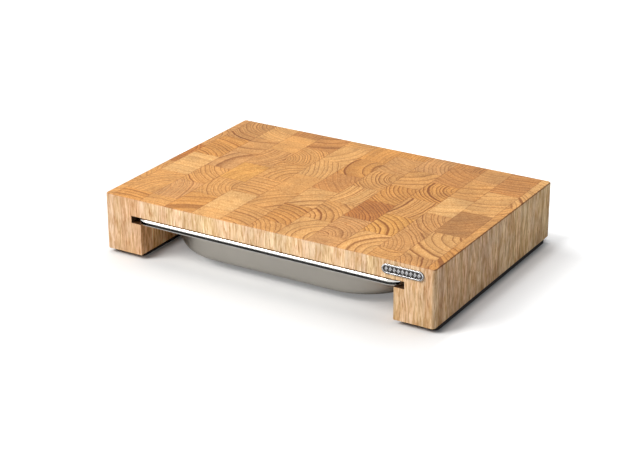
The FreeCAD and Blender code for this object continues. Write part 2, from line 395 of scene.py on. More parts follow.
@dataclass(frozen=True)
class EndGrainWood(Finish):
    """Oiled hardwood, cut across the grain on top and along it on the sides."""

    name: str = "oiled_hardwood"
    side_tint: Triple = (234, 203, 166)
    rosy_tint: Triple = (1.03, 0.97, 0.99)
    golden_tint: Triple = (0.99, 1.01, 0.90)
    earlywood_tint: Triple = (1.03, 1.045, 1.07)
    latewood_tint: Triple = (0.41, 0.28, 0.16)
    streak_tint: Triple = (0.85, 1.25, 1.85)
    pore_tint: Triple = (0.66, 0.47, 0.29)
    ray_tint: Triple = (1.25, 1.28, 1.3)
    glue_tint: Triple = (0.55, 0.42, 0.33)
    # painted shade: darker tint on the eased edges, strongest where they turn to the right
    arris_shade_tint: Triple = (0.40, 0.28, 0.18)
    # painted shade: near-black tint on the wood inside the grooves, where no light reaches
    groove_shade_tint: Triple = (0.10, 0.08, 0.06)
    # painted light: brightens the rail faces that look into the channel under the board, which lie in shade
    channel_light_tint: Triple = (1.45, 1.34, 1.18)
    wobble: float = 5.5 * MM
    glue_width: float = 0.45 * MM
    lamella_glue: float = 0.6  # how near a lamella's joint seems, next to a block's
    relief: float = 0.12 * MM
    end_grain: Step = Step(0.35, 0.8)  # by how far a face looks up
    outward: Step = Step(0.6, 0.95)  # by how far it looks to the right
    bands: Step = Step(0.38, 0.62)
    band_share: float = 0.45  # a side's warmth, from its bands
    own_share: float = 0.55  # and from its block
    own_light: Swing = Swing(0.94, 0.14)
    year_light: Swing = Swing(0.95, 0.16)
    wiped_light: Swing = Swing(0.93, 0.18)
    ring_depth: Swing = Swing(0.45, 0.95)  # on side grain, and more on end grain
    glue_depth: Swing = Swing(0.25, 0.50)
    pore_depth: Swing = Swing(0.52, 0.18)  # on end grain, and more on side grain
    ray_depth: float = 0.10
    streaks: tuple[Streaks, ...] = (
        Streaks("Streak", 0.62, 0.34, 0.12, 0.14), Streaks("Broad", 0.55, 0.10, 0.12, 0.18)
    )
    # where the eased edges get their painted shade: between top and side, and more on edges that look to the right
    eased: tuple[Step, Step] = (Step(0.12, 0.40), Step(0.80, 0.97, 1.0, 0.0))
    eased_outward: Step = Step(0.1, 0.4, 0.35, 0.95)

    def surface(self, graph: Graph) -> Feeds:
        """Works the wood out from the attributes of each block.

        Args:
            graph: the material's graph.

        Returns:
            What goes into its Principled BSDF.
        """
        place = graph.node("TexCoord")
        position = place["Object"]
        heart, tone, low, high = graph.attributes("Vector", "heart", "tone", "plan_low", "plan_high")
        paleness, groove_shade, channel_light = graph.attributes("Fac", "paleness", "groove_shade", "channel_light")
        spacing, seed, contrast = (graph.parts(packed)[2] for packed in (heart, low, high))
        rings = graph.place(
            EFFECTS.growth_rings, Position=position, Heart=heart, Spacing=spacing, Seed=seed, Wobble=self.wobble
        )
        fibre = graph.place(EFFECTS.long_fibre, Position=position, Seed=seed)
        glue = graph.place(
            EFFECTS.glue_line, Position=position, Low=low, High=high,
            Width=self.glue_width, Nearness=self.lamella_glue,
        )
        marks = graph.place(EFFECTS.handling, Position=position, Cloud=34.0, Speck=90.0)
        rightward, _, upward = graph.parts(place["Normal"])
        upright = abs(upward)
        end_grain = upright.step(*self.end_grain)
        side_grain = 1.0 - end_grain
        outward = rightward.step(*self.outward)

        own = graph.chance(seed)
        banded = graph.noise(position * (1.0, 1.0, 0.12), 75.0).step(*self.bands)
        warmth = own * self.own_share + banded * self.band_share
        side = graph.blend(paleness, tone, linear(*self.side_tint))
        side = graph.blend(warmth, side * self.rosy_tint, side * self.golden_tint) * own.swing(self.own_light)
        colour = graph.blend(end_grain, side, tone * self.earlywood_tint)
        colour = colour * rings["Year"].swing(self.year_light) * marks["Wiping"].swing(self.wiped_light)

        line = rings["Latewood"] * contrast
        colour = graph.stained(colour, line * end_grain.swing(self.ring_depth), self.latewood_tint)
        for layer in self.streaks:
            depth = side_grain * layer.side_depth + layer.depth + outward * layer.outward_depth
            colour = colour * ((fibre[layer.output] - layer.middle) * depth * self.streak_tint + 1.0)
        # painted shade along the eased edges, stronger on the right
        arris_shade = upright.step(*self.eased[0]) * upright.step(*self.eased[1]) * rightward.step(*self.eased_outward)
        for mask, tint in (
            (fibre["Pore"] * side_grain.swing(self.pore_depth), self.pore_tint),
            (rings["Ray"] * end_grain * self.ray_depth, self.ray_tint),
            (glue["Line"] * end_grain.swing(self.glue_depth), self.glue_tint),
            (arris_shade, self.arris_shade_tint),
            # painted shade inside the grooves
            (groove_shade, self.groove_shade_tint),
            # painted light on the rail faces in the channel
            (channel_light, self.channel_light_tint),
        ):
            colour = graph.stained(colour, mask, tint)

        height = line * 0.35 + fibre["Streak"] * 0.25 - fibre["Pore"] * 0.6
        return {
            "Base Color": colour,
            "Roughness": marks["Wiping"] * 0.10 + 0.50 - line * 0.08,
            "Normal": graph.bump(height, 0.5, self.relief),
            "Specular IOR Level": 0.35,
        }


@dataclass(frozen=True)
class Steel(Finish):
    """Stainless sheet, from mirror bright to satin."""

    tint: Triple
    roughness: float
    roughness_swing: float
    relief: float
    worn: float = 0.86  # how bright a wiped place is, next to the rest

    def surface(self, graph: Graph) -> Feeds:
        """Works the steel out.

        Args:
            graph: the material's graph.

        Returns:
            What goes into its Principled BSDF.
        """
        position = graph.node("TexCoord")["Object"]
        marks = graph.place(EFFECTS.handling, Position=position, Cloud=18.0, Speck=1400.0)
        drawn = graph.noise(position * (0.06, 0.06, 1.0), 2600.0)
        tint = linear(*self.tint)
        return {
            "Base Color": graph.blend(marks["Wiping"] * 0.5, tint, tuple(c * self.worn for c in tint)),
            "Roughness": (marks["Wiping"] + drawn) * self.roughness_swing + self.roughness,
            "Normal": graph.bump(marks["Specks"] + drawn, 0.35, self.relief),
            "Metallic": 1.0,
        }


@dataclass(frozen=True)
class SoftBlack(Finish):
    """Dark rubber or foam with a fine open surface."""

    tint: Triple
    dusty_tint: Triple
    roughness: float
    grain: float
    relief: float = 0.15 * MM

    def surface(self, graph: Graph) -> Feeds:
        """Works the rubber or foam out.

        Args:
            graph: the material's graph.

        Returns:
            What goes into its Principled BSDF.
        """
        position = graph.node("TexCoord")["Object"]
        marks = graph.place(EFFECTS.handling, Position=position, Cloud=30.0, Speck=self.grain)
        return {
            "Base Color": graph.blend(marks["Wiping"] * 0.6, linear(*self.tint), linear(*self.dusty_tint)),
            "Roughness": marks["Specks"] * 0.15 + self.roughness,
            "Normal": graph.bump(marks["Specks"], 0.6, self.relief),
            "Specular IOR Level": 0.3,
        }


@dataclass(frozen=True)
class BadgeMetal(Finish):
    """Plated badge: bright where it stands proud, darkened in its field, with a painted dark reflection on the walls
    that turn from the front.
    """

    name: str = "plated_badge"
    bright: Triple = (236, 236, 238)
    dark: Triple = (84, 81, 80)
    low: Step = Step(0.15, 0.6, 1.0, 0.0)  # dark by how little a place stands proud
    turned: Step = Step(0.3, 0.8, 0.9, 0.0)  # and, as a painted dark reflection, by how far it turns from the front
    relief: float = 0.03 * MM

    def surface(self, graph: Graph) -> Feeds:
        """Works the metal out from how proud each point stands, with a painted dark reflection where it turns from the
        front.

        Args:
            graph: the material's graph.

        Returns:
            What goes into its Principled BSDF.
        """
        place = graph.node("TexCoord")
        proud = graph.attributes("Fac", "proud")[0]
        marks = graph.place(EFFECTS.handling, Position=place["Object"], Cloud=160.0, Speck=3000.0)
        facing = abs(graph.parts(place["Normal"])[1])
        # the darker field, and a painted dark reflection on walls and slopes that turn from the front
        dark_field_and_reflection = graph.number("MAXIMUM", proud.step(*self.low), facing.step(*self.turned))
        colour = graph.blend(dark_field_and_reflection, linear(*self.bright), linear(*self.dark))
        return {
            "Base Color": colour * (1.0 - marks["Wiping"] * 0.12),
            "Roughness": dark_field_and_reflection * 0.35 + marks["Wiping"] * 0.08 + 0.08,
            "Normal": graph.bump(marks["Specks"], 0.3, self.relief),
            "Metallic": 1.0,
        }


@dataclass(frozen=True)
class PaleFloor(Finish):
    """Matt pale floor, which has one tone in bright metal and another in the light that it throws back; it carries
    painted light and shade round the board, and a painted reflection for the metal.
    """

    name: str = "pale_floor"
    tone: float = 0.86
    bounce: float = 0.50  # how bright it is in the light that it throws back
    glow: Step = Step(0.3, 1.2, 0.0, 0.5)  # turns it white, by the way from the board's middle
    shade: Step = Step(0.009, 0.027, 0.0, 0.24)  # painted light that ends the board's shade, past its right and back
    mottle: float = 0.01

    MASKS = {  # steps that are multiplied: each the way it is along, and its limits
        "corner": (("past_side", -0.05, -0.01), ("past_end", -0.035, 0.012, 0.0, 0.28)),  # painted light round the board's back right corner
        "channel": (("aside", 0.138, 0.152, 1.0, 0.0), ("y", -0.140, -0.095, 0.0, 0.20)),  # and painted light under the board, between the rails
        "touch": (  # painted contact shadow, darker close to the strip on the right
            ("past_side", -0.001, 0.009, 0.62, 0.0), ("past_side", -0.012, -0.008),
            ("past_end", -0.012, -0.006, 1.0, 0.0), ("y", -0.134, -0.126)),
        "ahead": (  # softer shade that reaches out in front
            ("y", -0.225, -0.165), ("y", -0.110, -0.060, 0.10, 0.0), ("aside", 0.150, 0.235, 1.0, 0.0)),
        "near": (("y", -0.215, -0.190, 0.02, 0.5),),  # painted reflection: how bright it looks in metal, from front to back, with a black band ahead of the board for the dark line on the tray's rim
        # painted reflection: white further out in front
        "far": (("y", -0.258, -0.248, 0.9, 0.0),),
        # painted reflection: dark beside the front of the board, carrying the rim's black line round its ends
        "dark": (("aside", 0.190, 0.210), ("y", -0.145, -0.120, 1.0, 0.0)),
        # painted reflection: brighter to the right of the board
        "right": (("x", 0.195, 0.235, 0.0, 0.9), ("y", -0.175, -0.150)),
    }

    def surface(self, graph: Graph) -> Feeds:
        """Works the floor out; its glow, which also paints light into the board's shadow, is for the camera alone.

        Args:
            graph: the material's graph.

        Returns:
            What goes into its Principled BSDF.
        """
        position = graph.node("TexCoord")["Object"]
        light_path = graph.node("LightPath")
        x, y, _ = graph.parts(position)
        past_side, past_end = x - CAD_BOX[1][0], y - CAD_BOX[1][1]
        ways = {"x": x, "y": y, "aside": abs(x), "past_side": past_side, "past_end": past_end}
        mask = {
            name: reduce(mul, (ways[way].step(*limits) for way, *limits in steps))
            for name, steps in self.MASKS.items()
        }
        # painted reflection: the floor's tone as the metal alone sees it
        metal = graph.number("MAXIMUM", mask["near"] * (1.0 - mask["dark"]) + mask["far"], mask["right"])
        shown = light_path["Is Diffuse Ray"].step(0.0, 1.0, self.tone, self.bounce)
        # painted shade in front of the board, and the painted contact shadow by the right strip
        shown = shown * (1.0 - mask["ahead"]) * (1.0 - mask["touch"]) + graph.noise(position, 3.0) * self.mottle
        # painted light: the glow lifts the board's shadow past its right and back, round its corner and under it
        shadow_lift = graph.number("MAXIMUM", past_side, past_end).step(*self.shade)
        glow = graph.length(position).step(*self.glow) + shadow_lift + mask["corner"] + mask["channel"]
        return {
            "Base Color": graph.blend(light_path["Is Glossy Ray"], shown, metal),
            "Emission Color": glow * light_path["Is Camera Ray"],
            "Emission Strength": 1.0,
            "Roughness": 0.9,
            "Specular IOR Level": 0.0,
        }


# ---- mesh helpers

def rounded_loop(half_a: float, half_b: float, corner: float, level: float, steps: int) -> Loop:
    """Points of a rectangle with round corners, in order.

    Args:
        half_a: half its size the first way.
        half_b: half its size the second way.
        corner: radius of its corners.
        level: third number of every point.
        steps: spans along each corner.

    Returns:
        The points; a loop always has four times one more than steps.
    """
    points = []
    for quarter, (side_a, side_b) in enumerate(((1, 1), (-1, 1), (-1, -1), (1, -1))):
        for step in range(steps + 1):
            angle = math.pi / 2 * (quarter + step / steps)
            a = side_a * (half_a - corner) + corner * math.cos(angle)
            b = side_b * (half_b - corner) + corner * math.sin(angle)
            points.append((a, b, level))
    return points


def quarter_round(radius: float, steps: int) -> list[tuple[float, float]]:
    """Points round a corner, from one side to the other, by how far in they are from the first and the second."""
    turns = [math.pi / 2 * step / steps for step in range(steps + 1)]
    return [(radius * (1 - math.sin(turn)), radius * (1 - math.cos(turn))) for turn in turns]


def skin(form: Form, loops: Sequence[Loop], place: Placing) -> None:
    """Adds a closed surface through loops of equal length, its first and last loop filled.

    Args:
        form: the mesh that it is added to.
        loops: the loops in order.
        place: puts a loop's point in the frame.
    """
    rows = [[form.verts.new(place(*point)) for point in loop] for loop in loops]
    for row, following in zip(rows[:-1], rows[1:]):
        for i in range(len(row)):
            after = (i + 1) % len(row)
            form.faces.new((row[i], row[after], following[after], following[i]))
    form.faces.new(rows[0])
    form.faces.new(rows[-1])
    bmesh.ops.recalc_face_normals(form, faces=form.faces)


def finished(form: Form, name: str, *materials: Material, sharp_degrees: float = 35.0) -> bpy.types.Object:
    """Turns a mesh into an object, smooth but for its sharp edges.

    Args:
        form: the mesh, which is freed.
        name: the piece's name.
        *materials: its materials in order.
        sharp_degrees: edges that turn more than this stay sharp.

    Returns:
        The new object, in the scene.
    """
    mesh = bpy.data.meshes.new(name)
    form.to_mesh(mesh)
    form.free()
    mesh.shade_smooth()
    mesh.set_sharp_from_angle(angle=math.radians(sharp_degrees))
    for material in materials:
        mesh.materials.append(material)
    piece = bpy.data.objects.new(name, mesh)
    bpy.context.scene.collection.objects.link(piece)
    piece.modifiers.new("even_shading", "WEIGHTED_NORMAL").keep_sharp = True
    return piece


def hand_over(piece: bpy.types.Object, body: str, slot: str, *nodes: str) -> None:
    """Ties a piece to the CAD model.

    Args:
        piece: the piece.
        body: the body that it rides on.
        slot: the name of its material slot; not used.
        *nodes: the nodes that it stands for.
    """
    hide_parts(*nodes)
    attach(piece, body)
    log.info("%s rides on %s and stands for %s", piece.name, body, ", ".join(nodes))


# ---- timber

CREAM, PALE, HONEY, GOLD, AMBER, TAN, PINK, BROWN, RUST, DUSK = Tone


@dataclass(frozen=True)
class Block:
    """One end-grain block: where its rings centre and how they look."""

    right: float  # of its heart line from the board's middle, mm
    back: float
    spacing: float  # mm from ring to ring
    tone: Tone
    contrast: float


@dataclass(frozen=True)
class Lamella:
    """A glued row of blocks, and the CAD node that it stands for."""

    node: str
    paleness: float  # how far its side grain departs from the end grain's colour
    blocks: tuple[tuple, ...]  # from front to back, each the values of a Block


LAMELLAS = (
    Lamella("left_edge_strip", 0.95, (
        (-150, -180, 6, HONEY, 0.6), (-130, -20, 6, HONEY, 0.4), (-240, 10, 5, RUST, 0.8),
        (-230, 60, 6, TAN, 0.6), (-200, 170, 5, PINK, 0.6))),
    Lamella("left_rail", 0.70, (
        (-170, -200, 7, AMBER, 0.6), (-120, -112, 5.5, HONEY, 0.4), (-172, -300, 9, CREAM, 0.3),
        (-192, -11, 5, AMBER, 0.8), (-146, 138, 3.8, TAN, 0.9))),
    Lamella("slab_lamella_1", 0.93, (
        (-135, -200, 6, HONEY, 0.4), (-220, -110, 3.4, PINK, 0.55), (-84, 22, 4.2, HONEY, 0.7),
        (-99, 5, 17, PINK, 0.7), (-152, 130, 18, TAN, 0.5), (-114, 161, 3.6, PALE, 0.6))),
    Lamella("slab_lamella_2", 0.93, (
        (-62, -200, 14, AMBER, 0.45), (-62, -42, 4, HONEY, 0.65), (-59, -32, 8, GOLD, 0.35),
        (-150, 60, 5, TAN, 0.7), (-100, -40, 8, HONEY, 0.15), (-180, 128, 3.6, BROWN, 0.6))),
    Lamella("slab_lamella_3", 0.93, (
        (-70, -220, 8, PALE, 0.2), (-60, -250, 9, CREAM, 0.15), (-75, -160, 7, HONEY, 0.5),
        (-36, -6, 7, HONEY, 0.7), (-96, 44, 3.2, HONEY, 0.95), (-90, 160, 16, BROWN, 0.5))),
    Lamella("slab_lamella_4", 0.93, (
        (-49, -187, 6, HONEY, 0.6), (24, -114, 10, HONEY, 0.55), (-40, 80, 9, HONEY, 0.2),
        (-140, -4, 4.8, PALE, 0.8), (-80, 114, 14, PALE, 0.4), (-35, 200, 6, HONEY, 0.5))),
    Lamella("slab_lamella_5", 0.93, (
        (-39, -150, 5, HONEY, 0.75), (-15, -130, 6.5, AMBER, 0.95), (50, -112, 10, PALE, 0.65),
        (60, 60, 5, BROWN, 0.35), (32, 72, 14, AMBER, 0.75), (80, 110, 6, AMBER, 0.3))),
    Lamella("slab_lamella_6", 0.93, (
        (67, -126, 10, PALE, 0.65), (2, -94, 6, HONEY, 0.8), (-60, 6, 4.4, PALE, 0.9), (60, 60, 4.2, HONEY, 0.95),
        (60, 150, 6, TAN, 0.35), (110, 128, 3.6, AMBER, 0.6))),
    Lamella("slab_lamella_7", 0.93, (
        (80, -160, 5, PINK, 0.45), (56, -117, 4.5, PINK, 0.75), (30, -80, 3.4, RUST, 0.9),
        (100, 46, 4.6, AMBER, 0.8), (41, 103, 12, HONEY, 0.5), (120, 125, 4.6, PINK, 0.65))),
    Lamella("slab_lamella_8", 0.93, (
        (137, -126, 10, PALE, 0.65), (72, -94, 6, GOLD, 0.85), (9, 2, 4.4, HONEY, 0.9),
        (129, 60, 4.2, AMBER, 0.95), (125, 140, 7, BROWN, 0.45), (180, 128, 3.6, BROWN, 0.7))),
    Lamella("slab_lamella_9", 0.93, (
        (137, -95, 6, HONEY, 0.55), (95, -118, 4, TAN, 0.65), (185, 2, 4.2, TAN, 0.75),
        (100, 90, 12, CREAM, 0.35), (118, 119, 12, HONEY, 0.5), (135, 180, 9, TAN, 0.4))),
    Lamella("right_rail", 0.78, (
        (115, -150, 5, TAN, 0.8), (200, -46, 9, PALE, 0.7), (120, 40, 5, DUSK, 0.4), (135, 118, 10, PALE, 0.45),
        (136, 300, 6.5, BROWN, 0.55))),
    Lamella("right_edge_strip", 0.68, (
        (150, -150, 6, AMBER, 0.6), (240, -60, 6, HONEY, 0.4), (150, 60, 6, HONEY, 0.6), (150, 30, 6, PALE, 0.7),
        (210, 190, 6, CREAM, 0.4))),
)


@dataclass
class WoodRoom:
    """Where the board's timber is: its box less the tray's channel and grooves."""

    groove_depth: float = 7.1 * MM  # groove's floor under the top of the tray's rim
    groove_gap: float = 0.5 * MM  # groove's end beyond the rim

    def __post_init__(self) -> None:
        """Takes the room's limits from the CAD nodes."""
        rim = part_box("tray")[1]
        self.low, self.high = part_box("left_edge_strip")[0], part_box("right_edge_strip")[1]
        self.groove_half, self.groove_floor = rim.x + self.groove_gap, rim.z - self.groove_depth
        self.channel_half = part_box("right_rail")[0].x
        self.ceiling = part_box("slab_lamella_1")[0].z

    def holds(self, point: Vector) -> bool:
        """Whether a point is in wood: in the board's box and in none of its hollows."""
        boxed = all(low < value < high for low, value, high in zip(self.low, point, self.high))
        return boxed and not self.in_groove(point) and max(abs(point.x) - self.channel_half, point.z - self.ceiling) > 0

    def in_groove(self, point: Vector) -> bool:
        """Whether a point is in the air of a groove."""
        across = self.channel_half < abs(point.x) < self.groove_half
        return across and self.groove_floor < point.z < self.ceiling

    def in_channel(self, point: Vector) -> bool:
        """Whether a point is in the air between the rails."""
        return abs(point.x) < self.channel_half and self.low.y < point.y < self.high.y and point.z < self.groove_floor


@dataclass
class Timber:
    """The slab and its two rails: thirteen glued lamellas, each a row of end-grain blocks."""

    edge_ease: float = 0.4 * MM  # sanded off each sharp outer edge
    probe: float = 0.4 * MM  # step off a face that tells wood from air
    joint_turn: float = math.radians(50.0)
    flat_turn: float = math.radians(0.5)
    square_on: float = 0.999
    seed_first: float = 1.0
    seed_step: float = 3.7
    weld: int = 7  # decimals that make two corners one
    clear: float = 20.0 * MM  # no glue line is drawn at the board's own edges

    def block_index(self, cuts: Sequence[float], face: bpy.types.MeshPolygon) -> int:
        """Which block a face of a lamella belongs to, counted from the front."""
        inside = face.center.y - face.normal.y * self.probe
        return sum(1 for cut in cuts if inside > cut)

    def cuts(self, mesh: bpy.types.Mesh) -> list[float]:
        """Places from front to back where a lamella's blocks meet."""
        facing = [face for face in mesh.polygons if abs(face.normal.y) > self.square_on]
        return sorted({round(face.center.y, 5) for face in facing})[1:-1]

    def joint(self, edge: float, outer: float, way: float) -> float:
        """Where a block's glue line is, or well clear of the board where the block has none."""
        return edge + way * self.clear if abs(edge - outer) < self.probe else edge

    def one_block(self, mesh: bpy.types.Mesh, faces: Sequence[bpy.types.MeshPolygon], room: WoodRoom) -> Form:
        """One block's closed form, with its outer sharp edges eased.

        Args:
            mesh: the lamella's mesh.
            faces: the faces of this block.
            room: tells glued faces from outer ones.

        Returns:
            The block's own mesh.
        """
        form = bmesh.new()
        corners: dict[tuple[float, ...], bmesh.types.BMVert] = {}
        for face in faces:
            ring = []
            for index in face.vertices:
                place = mesh.vertices[index].co
                key = tuple(round(c, self.weld) for c in place)
                if key not in corners:
                    corners[key] = form.verts.new(place)
                ring.append(corners[key])
            if len(set(ring)) == len(ring):
                form.faces.new(ring)
        bmesh.ops.recalc_face_normals(form, faces=form.faces)
        bmesh.ops.dissolve_limit(form, angle_limit=self.flat_turn, verts=form.verts, edges=form.edges)
        form.normal_update()
        outer = {
            face for face in form.faces
            if not room.holds(face.calc_center_median() + face.normal * self.probe)
        }
        sharp = [
            edge for edge in form.edges
            if len(edge.link_faces) == 2
            and all(face in outer for face in edge.link_faces)
            and edge.calc_face_angle() > self.joint_turn
        ]
        bmesh.ops.bevel(
            form, geom=sharp, offset=self.edge_ease, segments=2, profile=0.5, affect="EDGES", clamp_overlap=True
        )
        form.normal_update()
        return form

    def build(self) -> None:
        """Builds every lamella and hands it over."""
        wood = EndGrainWood().material()
        room = WoodRoom()
        seed = self.seed_first
        for lamella in LAMELLAS:
            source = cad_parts[lamella.node].data
            cuts = self.cuts(source)
            rows: list[list[bpy.types.MeshPolygon]] = [[] for _ in lamella.blocks]
            for face in source.polygons:
                rows[self.block_index(cuts, face)].append(face)
            low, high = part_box(lamella.node)
            ends = [low.y] + cuts + [high.y]
            left, right = self.joint(low.x, room.low.x, -1.0), self.joint(high.x, room.high.x, 1.0)
            whole = bmesh.new()
            paleness = whole.verts.layers.float.new("paleness")
            groove_shade = whole.faces.layers.float.new("groove_shade")
            channel_light = whole.faces.layers.float.new("channel_light")
            new_layer = whole.verts.layers.float_vector.new
            layers = [new_layer(name) for name in ("heart", "tone", "plan_low", "plan_high")]
            for look, faces, front, back in zip(lamella.blocks, rows, ends[:-1], ends[1:]):
                block = Block(*look)
                form = self.one_block(source, faces, room)
                values = (
                    (block.right * MM, block.back * MM, block.spacing * MM),
                    linear(*block.tone.value),
                    (left, self.joint(front, room.low.y, -1.0), seed),
                    (right, self.joint(back, room.high.y, 1.0), block.contrast),
                )
                twins = {vert: whole.verts.new(vert.co) for vert in form.verts}
                for twin in twins.values():
                    twin[paleness] = lamella.paleness
                    for layer, value in zip(layers, values):
                        twin[layer] = value
                for face in form.faces:
                    twin = whole.faces.new([twins[vert] for vert in face.verts])
                    before = face.calc_center_median() + face.normal * self.probe
                    # painted shade: a face that looks into a groove is marked for the near-black tint
                    twin[groove_shade] = float(room.in_groove(before))
                    # painted light: a face that looks into the channel is marked for the brightening tint
                    twin[channel_light] = float(room.in_channel(before))
                form.free()
                seed += self.seed_step
            piece = finished(whole, "timber_" + lamella.node, wood)
            hand_over(piece, "board", "end_grain_wood", lamella.node)


# ---- tray

class SheetPoint(NamedTuple):
    """A place on the middle line of the bent sheet, seen in section."""

    out: float  # outward from the outline that it follows
    up: float
    lean_out: float  # the sheet's upper side faces this way
    lean_up: float


@dataclass
class PressedTray:
    """Half-size catering pan: one pressed sheet with a rolled rim, which slides in the rails."""

    sheet: float = 0.8 * MM
    rim_corner: float = 20.0 * MM
    roll_height: float = 6.8 * MM
    roll_shoulder: float = 2.2 * MM
    roll_lip: float = 1.2 * MM
    roll_return: float = 1.2 * MM
    flange_width: float = 12.0 * MM
    mouth_corner: float = 79.0 * MM
    wall_slope: float = math.radians(10.0)
    mouth_bend: float = 2.4 * MM
    floor_bend: float = 12.0 * MM
    bend_steps: int = 8
    corner_steps: int = 28
    satin: Steel = Steel("satin_steel", (206, 201, 192), 0.30, 0.08, 0.02 * MM)
    polished: Steel = Steel("polished_steel", (232, 230, 226), 0.05, 0.04, 0.004 * MM)

    def bent_line(self, points: Sequence[tuple[float, float]], *radii: float) -> list[SheetPoint]:
        """Middle line through its corner points, with each corner bent to its radius.

        Args:
            points: corner points as outward and up.
            *radii: bend at each corner but the two ends.

        Returns:
            The line's places.
        """
        places = [Vector(point) for point in points]
        ways = [(after - before).normalized() for before, after in zip(places[:-1], places[1:])]
        found = [SheetPoint(*places[0], -ways[0].y, ways[0].x)]
        for place, arrive, leave, radius in zip(places[1:], ways, ways[1:], radii):
            turn = math.atan2(arrive.x * leave.y - arrive.y * leave.x, arrive.dot(leave))
            bend = math.copysign(radius, turn)
            enter = place - arrive * (radius * math.tan(abs(turn) / 2))
            middle = enter + Vector((-arrive.y, arrive.x)) * bend
            for step in range(self.bend_steps + 1):
                way = Matrix.Rotation(turn * step / self.bend_steps, 2) @ arrive
                facing = Vector((-way.y, way.x))
                found.append(SheetPoint(*(middle - facing * bend), *facing))
        return found + [SheetPoint(*places[-1], -ways[-1].y, ways[-1].x)]

    def section(self, drop: float) -> tuple[list[SheetPoint], list[SheetPoint]]:
        """Middle line of the whole sheet, from the floor out to the lip behind the roll.

        Args:
            drop: from the flange down to the floor.

        Returns:
            The part that follows the mouth's outline, and the part that follows the rim's.
        """
        foot = -drop * math.tan(self.wall_slope)
        lean = math.tan((math.pi / 2 - self.wall_slope) / 2)
        inward = foot - self.floor_bend * lean - self.sheet
        outward = self.mouth_bend * lean + self.sheet
        wall = ((inward, -drop), (foot, -drop), (0.0, 0.0), (outward, 0.0))
        shoulder, lip = -self.roll_shoulder - self.sheet, -self.roll_lip - self.roll_return
        fall = self.sheet - self.roll_height
        roll = ((shoulder, 0.0), (0.0, 0.0), (0.0, fall), (lip, fall))
        return (
            self.bent_line(wall, self.floor_bend, self.mouth_bend),
            self.bent_line(roll, self.roll_shoulder, self.roll_lip),
        )

    def past_mouth(self, spot: Vector, mouth: Triple) -> bool:
        """Whether a place, from the tray's middle, is on the flange or the roll."""
        across, along = (max(abs(spot[i]) - mouth[i] + mouth[2], 0.0) for i in (0, 1))
        return math.hypot(across, along) > mouth[2] + self.mouth_bend

    def build(self) -> None:
        """Builds the tray and hands it over."""
        low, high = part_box("tray")
        middle, half = (low + high) / 2, (high - low) / 2
        half_sheet = self.sheet / 2
        rim = (half.x - half_sheet, half.y - half_sheet, self.rim_corner - half_sheet)
        mouth = (half.x - self.flange_width, half.y - self.flange_width, self.mouth_corner)
        parts = list(zip((mouth, rim), self.section(high.z - low.z - self.sheet)))
        upper, lower = (
            [
                rounded_loop(
                    *(size + point.out + point.lean_out * off for size in outline),
                    high.z - half_sheet + point.up + point.lean_up * off, self.corner_steps,
                )
                for outline, line in parts for point in line
            ]
            for off in (half_sheet, -half_sheet)
        )
        form = bmesh.new()
        skin(form, upper + lower[::-1], lambda x, y, z: Vector((x + middle.x, y + middle.y, z)))
        for face in form.faces:
            face.material_index = int(self.past_mouth(face.calc_center_median() - middle, mouth))
        steels = (steel.material() for steel in (self.satin, self.polished))
        piece = finished(form, "pressed_tray", *steels, sharp_degrees=40.0)
        hand_over(piece, "tray", "tray_steel", "tray")


# ---- strips and badge

@dataclass
class AntiSlipStrips:
    """Rubber strips under the two rails."""

    corner: float = 6.0 * MM
    edge: float = 0.5 * MM
    steps: int = 6
    rubber: SoftBlack = SoftBlack("matt_rubber", (23, 20, 18), (42, 36, 32), 0.62, 900.0)

    def build(self) -> None:
        """Builds both strips and hands them over."""
        rubber = self.rubber.material()
        for side in ("left", "right"):
            node = side + "_anti_slip_strip"
            low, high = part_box(node)
            middle, half, top = (low + high) / 2, (high - low) / 2, high.z - low.z
            loops = [
                rounded_loop(half.x - inset, half.y - inset, self.corner - inset, low.z + rise, self.steps)
                for inset, rise in quarter_round(self.edge, self.steps) + [(0.0, top - self.edge), (0.0, top)]
            ]
            form = bmesh.new()
            skin(form, loops, lambda x, y, z: Vector((x + middle.x, y + middle.y, z)))
            hand_over(finished(form, "rubber_strip_" + side, rubber), "board", "strip_rubber", node)


